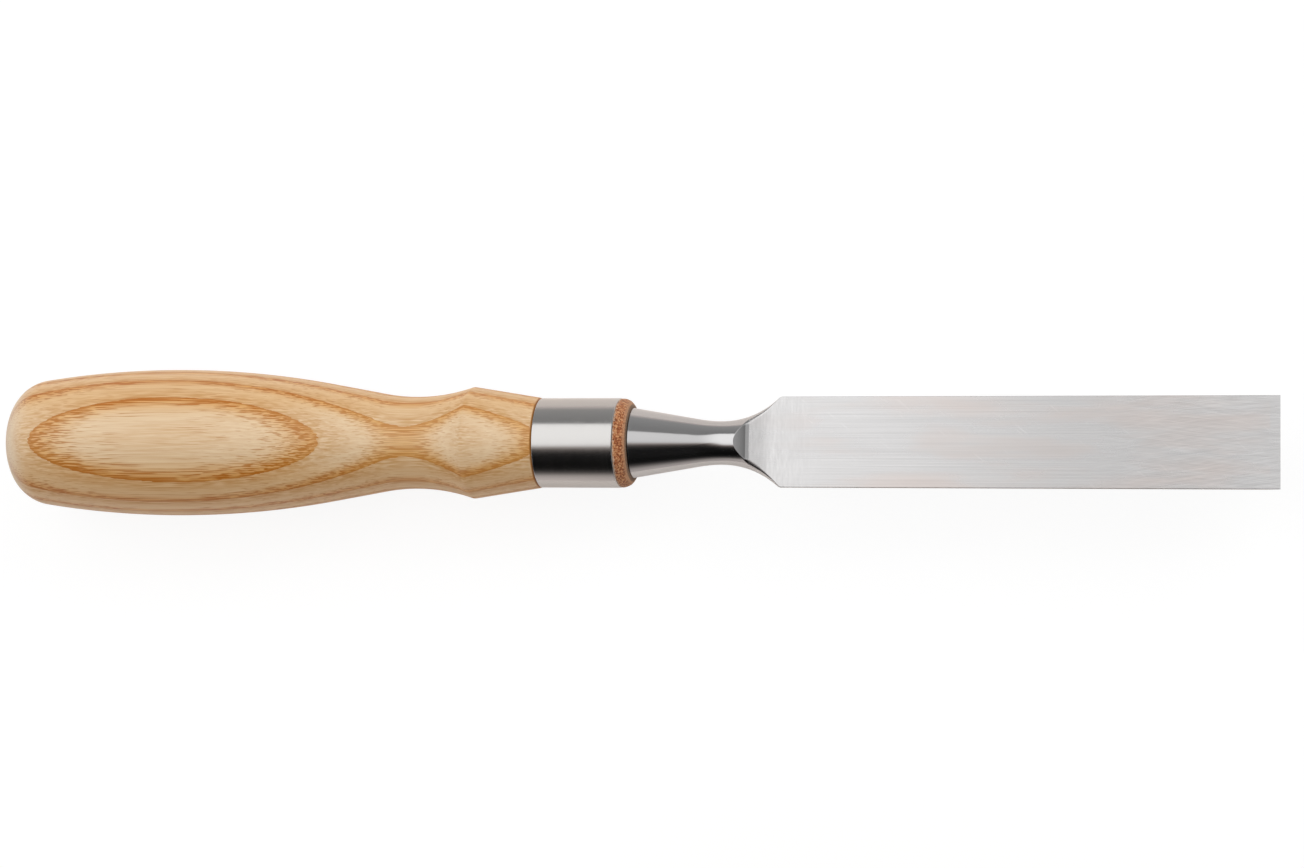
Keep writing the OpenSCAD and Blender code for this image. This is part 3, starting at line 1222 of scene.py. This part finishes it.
    def reach_at(self, x: float) -> float:
        """How far the rounded edge of the flat back reaches: furthest where the flare starts.

        Args:
            x: Station along the tool.

        Returns:
            The reach there.
        """
        first, full, late, last = self.flare_soft
        sets_in = smoothstep(self.foot_x + first, self.foot_x + full, x)
        ends = smoothstep(self.foot_x + late, self.shoulder_x + last, x)
        return self.edge_reach + (self.flare_reach - self.edge_reach) * sets_in * (1 - ends)

    def half_section(self, x: float) -> list[Outline]:
        """Right half of the cross section, as four sides from the top to the bottom.

        Args:
            x: Station along the tool.

        Returns:
            Points of [y, z] of the top, flank, bevel and bottom sides, each from its upper to its lower end.
        """
        r = self.radius(x)
        high, low = min(self.top(x), r), max(self.bottom(x), -r)
        if r < self.flare_r and high >= r and low <= -r:
            return self.round_section(x, r)
        n_top, n_flank, n_bevel, n_low = self.counts

        def bevelled(z: float) -> bool:
            """Whether the side bevel cuts the flank at a height."""
            return self.bevel_at(x, z) < self.flank_at(x, z)

        z1 = boundary(bevelled, high, low) if bevelled(low) else low
        c0 = (0.0 if high >= r else self.flank_at(x, high), high)
        c1 = (0.0 if z1 <= -r else self.flank_at(x, z1), z1)
        c2 = (min(c1[0], self.bevel_at(x, low)) if low > -r else 0.0, low)
        a0, a1 = math.atan2(c0[0], c0[1]), math.pi - math.atan2(c1[0], c1[1])
        upper, lower = self.reach_at(x), self.edge_reach
        flank = [c0]
        for t in self.spread(n_flank, math.dist(c0, c1), upper, lower)[1:-1]:
            a = math.pi * t + a0 * (1 - t) ** self.slip(a0) - a1 * t ** self.slip(a1)
            z = min(r, self.half / max(TINY, math.sin(a))) * math.cos(a)
            flank.append((self.flank_at(x, z), z))
        flank.append(c1)
        return [
            self.straight((0.0, high), c0, n_top, 0.0, upper),
            flank,
            self.straight(c1, c2, n_bevel, lower, lower),
            self.straight(c2, (0.0, low), n_low, lower, 0.0),
        ]

    def slip(self, angle: float) -> float:
        """Power by which a corner at an angle moves the flank's points: high while the angle is small."""
        return 1 + self.slip_power * max(0.0, 1 - angle / self.slip_angle)

    def spread(self, n: int, length: float, first: float, last: float) -> list[float]:
        """Shares of a side's length at which its points lie.

        Args:
            n: Number of stretches.
            length: The side's length.
            first: How far the rounding of the corner reaches at which the side starts, or 0 for no corner.
            last: The same for the side's end.

        Returns:
            n + 1 shares from 0 to 1.
        """
        near, late = (min(reach / max(length, TINY), self.corner_most) for reach in (first, last))
        head = [near * s for s in self.corner_steps] if first else [0.0]
        tail = [1 - late * s for s in reversed(self.corner_steps)] if last else [1.0]
        inner = n + 1 - len(head) - len(tail)
        low, high = head[-1], tail[0]
        return head + [low + (high - low) * (i + 1) / (inner + 1) for i in range(inner)] + tail

    def straight(self, p: Pair, q: Pair, n: int, first: float, last: float) -> Outline:
        """Points from p to q in n stretches, closer next to rounded corners of the given reaches."""
        return [between(p, q, t) for t in self.spread(n, math.dist(p, q), first, last)]

    def round_section(self, x: float, r: float) -> list[Outline]:
        """Right half of a round cross section, whose points move to where the next sides start.

        Args:
            x: Station along the tool.
            r: Radius there.

        Returns:
            Points of [y, z] of the top, flank, bevel and bottom sides.
        """
        # All four sides share the circle at the bolster, and the flank has it alone at the neck's middle.
        even = 1 - smoothstep(self.seat_x + self.even_len, self.middle_x, x)
        flank, bevel, low = self.round_degs
        marks = [0.0, flank * even, 180 - (180 - bevel) * even, 180 - (180 - low) * even, 180.0]
        sides = []
        for a, b, n in zip(marks, marks[1:], self.counts):
            near_ends = self.spread(n, 2 * r, self.reach_at(x), self.edge_reach)
            shares = [share + (i / n - share) * even for i, share in enumerate(near_ends)]
            angles = [math.radians(a + (b - a) * share) for share in shares]
            sides.append([(r * math.sin(t), r * math.cos(t)) for t in angles])
        return sides

    def ring(self, x: float) -> Outline:
        """Whole cross section with rounded corners, clockwise from the top as seen from the tip.

        Args:
            x: Station along the tool.

        Returns:
            Points of [y, z], as many at every station.
        """
        sides = self.half_section(x)
        half = sides[0] + [point for side in sides[1:] for point in side[1:]]
        rounded = list(half)
        r = self.radius(x)
        if self.top(x) < r or self.bottom(x) > -r:
            for corner in (sum(self.counts[:k]) for k in (1, 2, 3)):
                a, _, p, _, b = half[corner - 2 : corner + 3]
                if min(math.dist(a, p), math.dist(b, p)) > self.shortest:
                    rounded[corner - 1 : corner + 2] = [bend(a, p, b, t) for t in (0.25, 0.5, 0.75)]
        return rounded + [(-y, z) for y, z in reversed(rounded[1:-1])]

    def stations(self) -> list[float]:
        """Stations of the cross sections in front of the bolster's rim, closer where the shape turns.

        Returns:
            Stations from the bolster to the cutting edge.
        """
        ramp_x, crease = self.foot_x - self.ramp_foot, self.crease
        # Stations and the step from each to the next.
        marks = [
            (self.seat_x + 0.6, 0.4),
            (self.middle_x, 0.12),
            (ramp_x - crease, crease),
            (ramp_x + crease, 0.1),
            (self.foot_x - crease, crease),
            (self.foot_x + crease, 0.12),
            (self.shoulder_x + 0.5, 2.0),
            (self.heel_x - 0.1, 0.1),
            (self.heel_x + 0.1, 0.25),
            (self.tip_x, 0.0),
        ]
        stations = []
        for (a, step), (b, _) in zip(marks, marks[1:]):
            n = max(1, round((b - a) / step))
            stations += [a + (b - a) * i / n for i in range(n)]
        # The ramp and the bevelled side start on the neck in a tongue, whose tip needs closer sections.
        for cuts in (lambda x: self.top(x) < self.radius(x), lambda x: self.bottom(x) > -self.radius(x)):
            tongue_x = boundary(cuts, self.seat_x + self.even_len, self.foot_x)
            stations += [tongue_x + self.tongue * (k / 4) ** 2 for k in range(1, 4)]
        return sorted(stations) + [self.tip_x - self.honed, self.tip_x]

    def tang_ring(self, side: float) -> Outline:
        """Points of [y, z] of the tang's square cross section, in the order of the other rings."""
        scales = [(y, z, side / 2 / max(abs(y), abs(z))) for y, z in self.ring(self.seat_x)]
        return [(y * scale, z * scale) for y, z, scale in scales]

    def build(self) -> bpy.types.Object:
        """Builds and dresses the blade.

        Returns:
            The piece.
        """
        full = self.bolster_d / 2
        sections = [(self.seat_x - self.tang_len, self.tang_ring(self.tang_end_w))]
        sections.append((self.seat_x, self.tang_ring(self.tang_w)))
        for ahead, inset in self.rim:
            scale = (full - inset) / full
            points = [(y * scale, z * scale) for y, z in self.ring(self.seat_x)]
            sections.append((self.seat_x + ahead, points))
        sections += [(x, self.ring(min(x, self.tip_x - self.honed))) for x in self.stations()]
        bm = bmesh.new()
        axis_z = self.at.axis_z
        rings = [
            [bm.verts.new((x * MM, y * MM, (axis_z + z) * MM)) for y, z in points] for x, points in sections
        ]
        stitch(bm, rings, wrap=False)
        for ring in (rings[0], rings[-1]):
            bm.faces.new(ring)
        bmesh.ops.remove_doubles(bm, verts=bm.verts, dist=self.weld * MM)
        bmesh.ops.dissolve_degenerate(bm, dist=self.sliver * MM, edges=bm.edges)
        piece = smooth_object("forged_blade", bm)
        piece.data.set_sharp_from_angle(angle=math.radians(self.sharp_deg))
        material = self.finish.build(self.seat_x, self.foot_x, self.tip_x)
        return place_piece(piece, "blade", material)


# Studio


@dataclass(frozen=True)
class Along:
    """A value that changes smoothly along the tool.

    Attributes:
        start: Value beyond the butt.
        changes: Amount, first station and last station of each change, the stations in metres.
    """

    start: float
    changes: tuple[Triple, ...] = ()

    def at(self, x: float) -> float:
        """Value at a station in metres."""
        return self.start + sum(amount * smoothstep(first, last, x) for amount, first, last in self.changes)


class Dimming(Enum):
    """How a row of the light tent changes along the tool."""

    EVEN = Along(1.0)
    TOWARDS_TIP = Along(1.0, ((-0.29, -0.13, 0.11), (0.12, 0.11, 0.24)))
    # Dims the floor rows round the neck: a painted shadow of the tool on the floor, as the neck mirrors it.
    SHADOWED_AT_NECK = Along(1.15, ((-0.35, -0.045, 0.015),))


class Edge(Enum):
    """What a row's angle is counted from: straight up, or the soft box's near or far edge, in degrees."""

    UP = Along(0.0)
    NEAR = Along(-17.4, ((9.9, -0.22, 0.05),))
    FAR = Along(45.0, ((-10.5, -0.13, 0.05),))


@dataclass(frozen=True)
class Row:
    """One line of the light tent along the tool.

    Attributes:
        tone: Brightness, where 1 is white.
        angle: Angle about the tool's axis in degrees, positive towards +Y.
        edge: What the angle is counted from.
        dims: How the tone changes along the tool.
        warm: How much redder than white the row is, where 1 is warm white.
        floor_y: Distance from the axis in metres at which the row lies on the floor instead, or None.
    """

    tone: float
    angle: float = 0.0
    edge: Edge = Edge.UP
    dims: Dimming = Dimming.EVEN
    warm: float = 0.0
    floor_y: float | None = None


def aimed(place: Vector, right: Vector, up: Vector, back: Vector) -> Matrix:
    """Pose of a camera or a lamp at a place, in metres, from the directions of its own axes."""
    return Matrix.Translation(place) @ Matrix((right, up, back)).transposed().to_4x4()


@dataclass
class Studio:
    """Camera, floor, surround, lamps, light tent and end board."""

    axis_z: float
    # The camera, as fitted to the photograph.
    aim_x: float = 7.95
    distance: float = 616.2
    tilt_deg: float = 12.5
    roll_deg: float = 5.0
    rise: float = 2.0
    focal_px: float = 2760.0
    image_w: int = 1304
    sensor: float = 36.0
    # Nearest and furthest sight in metres, as all lengths from here on.
    clip: Pair = (0.01, 50.0)
    # Brightness of the surround as a light and as a background.
    surround: Pair = (0.8, 1.0)
    floor_size: float = 6.0
    floor_z: float = -0.0002
    # Shade and glow of the floor's paper as a light, as metal mirrors it, and as the camera sees it.
    papers: tuple[tuple[str, float], ...] = (("E6E6E6", 0.0), ("F4EAE3", 0.2), ("6B6B6B", 0.895))
    # Name of each lamp, its place from the tool's middle, and how bright its face is, where 1 is white.
    fills: tuple[tuple[str, Triple, float], ...] = (
        ("far_fill", (0.65, 0.75, 0.75), 3.0),
        ("near_fill", (0.7, -0.75, 0.6), 1.7),
    )
    lamp_size: float = 0.7
    tent_r: float = 0.7
    tent_columns: tuple[float, float, int] = (-0.9, 0.025, 65)
    tent_foot_z: float = 0.0004
    # Change of red, green and blue in warm white.
    warmth: Triple = (0.08, -0.015, -0.055)
    board_r: float = 0.6
    board_columns: Triple = (-0.8, 0.0, 0.8)
    # Angles of the board's rows, in degrees from straight up, and their tones, where 1 is white.
    board_degs: tuple[float, ...] = (23, 26, 29, 33, 37, 41, 45, 60, 88)
    board_tones: tuple[float, ...] = (1.0, 0.75, 0.58, 0.47, 0.42, 0.33, 0.24, 0.28, 0.3)

    def camera(self) -> None:
        """Places the camera over the flat back, leaning towards the cutting edge, as in the photograph."""
        tilt, roll = math.radians(self.tilt_deg), math.radians(self.roll_deg)
        back = Vector((math.sin(tilt), -math.sin(roll) * math.cos(tilt), math.cos(roll) * math.cos(tilt)))
        right = Vector((math.cos(tilt), math.sin(roll) * math.sin(tilt), -math.cos(roll) * math.sin(tilt)))
        up = back.cross(right)
        place = Vector((self.aim_x, 0, self.axis_z)) + up * self.rise + back * self.distance
        data = bpy.data.cameras.new("camera")
        data.sensor_width = self.sensor
        data.lens = self.focal_px * self.sensor / self.image_w
        data.clip_start, data.clip_end = self.clip
        camera = add_object("camera", data)
        camera.matrix_world = aimed(place * MM, right, up, back)
        bpy.context.scene.camera = camera

    @staticmethod
    def rays(tree: Tree) -> tuple[Socket, Socket]:
        """Tells what looks at a surface.

        Args:
            tree: Node tree that takes the nodes.

        Returns:
            Sockets that are 1 for the camera's own rays, and for rays by way of metal or glass.
        """
        path = add_node(tree, "LightPath").node.outputs
        mirrors = (path["Is Glossy Ray"], path["Is Transmission Ray"])
        return path["Is Camera Ray"], add_node(tree, "Math", mirrors, operation="MAXIMUM")

    def floor(self) -> None:
        """Lays the pale floor, which keeps the tool's shadow."""
        bm = bmesh.new()
        bmesh.ops.create_grid(bm, x_segments=1, y_segments=1, size=self.floor_size)
        floor = mesh_object("floor", bm)
        floor.location = (0, 0, self.floor_z)
        material, tree = new_material("white_paper")
        camera, mirror = self.rays(tree)
        surface, *others = (self.paper(tree, shade, glow) for shade, glow in self.papers)
        for seen, paper in zip((mirror, camera), others):
            surface = add_node(tree, "MixShader", (seen, surface, paper))
        # From below the floor is clear, so that the tool's underside can be looked at.
        clear = add_node(tree, "BsdfTransparent")
        under = add_node(tree, "NewGeometry", out="Backfacing")
        add_node(tree, "OutputMaterial", (add_node(tree, "MixShader", (under, surface, clear)),))
        floor.data.materials.append(material)

    @staticmethod
    def paper(tree: Tree, shade: str, glow: float) -> Socket:
        """Makes a sheet of paper that takes shadows, with a glow that lifts them.

        Args:
            tree: Node tree that takes the shaders.
            shade: Colour of the sheet.
            glow: Brightness that it has in any light, where 1 is white.

        Returns:
            The sheet's shader.
        """
        lit = add_node(tree, "BsdfDiffuse", {"Color": linear(shade)})
        own = add_node(tree, "Emission", {"Color": WHITE, "Strength": glow})
        return add_node(tree, "AddShader", (lit, own))

    def world(self) -> None:
        """Sets a white surround, dimmer as a light than as a background."""
        world = bpy.data.worlds.new("white_surround")
        bpy.context.scene.world = world
        world.use_nodes = True
        tree = world.node_tree
        tree.nodes.clear()
        seen = add_node(tree, "Math", self.rays(tree), operation="MAXIMUM")
        fill, white = (
            add_node(tree, "Background", {"Color": WHITE, "Strength": glow}) for glow in self.surround
        )
        add_node(tree, "OutputWorld", (add_node(tree, "MixShader", (seen, fill, white)),))

    def lamps(self) -> None:
        """Hangs two soft lamps aslant of the tool, where none of its metal mirrors them to the camera."""
        for name, offset, radiance in self.fills:
            data = bpy.data.lights.new(name, "AREA")
            data.size = self.lamp_size
            data.energy = radiance * math.pi * self.lamp_size**2
            back = Vector(offset).normalized()
            up = back.cross(Vector((0, 1, 0))).normalized()
            lamp = add_object(name, data)
            place = Vector((0, 0, self.axis_z * MM)) + Vector(offset)
            lamp.matrix_world = aimed(place, up.cross(back), up, back)
            lamp.visible_camera = False

    def tent(self) -> None:
        """Hangs a tent over the tool: grey cloth on its far side, a soft box above, black cloth nearby."""
        rows = [
            Row(0.78, floor_y=0.1, warm=1.0),
            Row(0.64, floor_y=0.22, warm=0.8),
            Row(0.55, floor_y=0.3, warm=0.5),
            Row(0.45, 90.0, warm=0.2),
            Row(0.43, 80.0),
            Row(0.385, 65.0),
            Row(0.335, 52.0),
            Row(0.295, 1.0, Edge.FAR),
            Row(1.5, -1.0, Edge.FAR, Dimming.TOWARDS_TIP),
            Row(1.56, -6.0, Edge.FAR, Dimming.TOWARDS_TIP),
            Row(1.56, 15.0, Edge.UP, Dimming.TOWARDS_TIP),
            Row(1.5, 9.0, Edge.NEAR, Dimming.TOWARDS_TIP),
            Row(1.2, 4.5, Edge.NEAR, Dimming.TOWARDS_TIP),
            Row(0.62, 1.5, Edge.NEAR, warm=1.0),
            Row(0.36, -1.0, Edge.NEAR, warm=1.4),
            Row(0.19, -4.0, Edge.NEAR, warm=1.6),
            Row(0.085, -8.0, Edge.NEAR, warm=1.5),
            Row(0.036, -13.0, Edge.NEAR, warm=1.0),
            Row(0.012, -21.0, Edge.NEAR),
            Row(0.005, -60.0),
            Row(0.008, -74.0),
            Row(0.03, -80.0, warm=0.5),
            Row(0.08, -85.0, warm=1.0),
            Row(0.18, -90.0, warm=1.0),
        ]
        # Rows laid on the floor on the near side, with a painted shadow of the tool round the neck.
        for tone, floor_y in ((0.3, -0.3), (0.39, -0.2), (0.5, -0.13), (0.6, -0.09), (0.76, -0.045)):
            rows.append(Row(tone, dims=Dimming.SHADOWED_AT_NECK, warm=1.0, floor_y=floor_y))
        first, step, count = self.tent_columns
        points, tones = [], []
        for row in rows:
            for x in (first + step * i for i in range(count)):
                a = math.radians(row.angle + row.edge.value.at(x))
                y, z = self.tent_r * math.sin(a), self.axis_z * MM + self.tent_r * math.cos(a)
                if row.floor_y is not None:
                    y, z = row.floor_y, self.tent_foot_z
                points.append((x, y, z))
                tone = row.tone * row.dims.value.at(x)
                tones.append(tuple(tone * (1 + change * row.warm) for change in self.warmth))
        self.cloth("light_tent", points, tones, count)

    def end_board(self) -> None:
        """Stands a grey board beyond the cutting edge, which the ramp mirrors."""
        points, tones = [], []
        for angle, tone in zip(map(math.radians, self.board_degs), self.board_tones):
            x, z = self.board_r * math.sin(angle), self.axis_z * MM + self.board_r * math.cos(angle)
            points += [(x, y, z) for y in self.board_columns]
            tones += [(tone, tone, tone)] * len(self.board_columns)
        self.cloth("end_board", points, tones, len(self.board_columns))

    @staticmethod
    def cloth(name: str, points: list[Triple], tones: list[Triple], width: int) -> None:
        """Makes a glowing sheet that metal mirrors and the camera doesn't see.

        Args:
            name: Name of the sheet.
            points: Its grid of points in metres, row by row.
            tones: Red, green and blue light at each point, where 1 is white.
            width: Number of points in a row.
        """
        bm = bmesh.new()
        layer = bm.verts.layers.float_color.new("tone")
        verts = [bm.verts.new(point) for point in points]
        for vert, tone in zip(verts, tones):
            vert[layer] = (*tone, 1)
        for start in range(0, len(verts) - width, width):
            for i in range(start, start + width - 1):
                bm.faces.new((verts[i], verts[i + 1], verts[i + width + 1], verts[i + width]))
        sheet = mesh_object(name, bm)
        material, tree = new_material(name)
        colour = add_node(tree, "Attribute", out="Color", attribute_name="tone")
        glow = add_node(tree, "Emission", {"Color": colour, "Strength": 1.0})
        add_node(tree, "OutputMaterial", (glow,))
        sheet.data.materials.append(material)
        sheet.visible_camera = False
        sheet.visible_shadow = False

    def build(self) -> None:
        """Sets up the whole studio."""
        self.camera()
        self.floor()
        self.world()
        self.lamps()
        self.tent()
        self.end_board()
        bpy.context.scene.view_settings.view_transform = "Standard"


def main() -> None:
    """Builds the studio and the pieces in order, and logs how many faces each piece has."""
    logging.basicConfig(level=logging.INFO, format="%(message)s")
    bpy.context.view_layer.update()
    at = Stations.from_frame()
    Studio(at.axis_z).build()
    for part in (Handle(at), Ferrule(at), LeatherWasher(at), Blade(at)):
        piece = part.build()
        LOG.info("%s: %d faces", piece.name, len(piece.data.polygons))


if __name__ == "__main__":
    main()
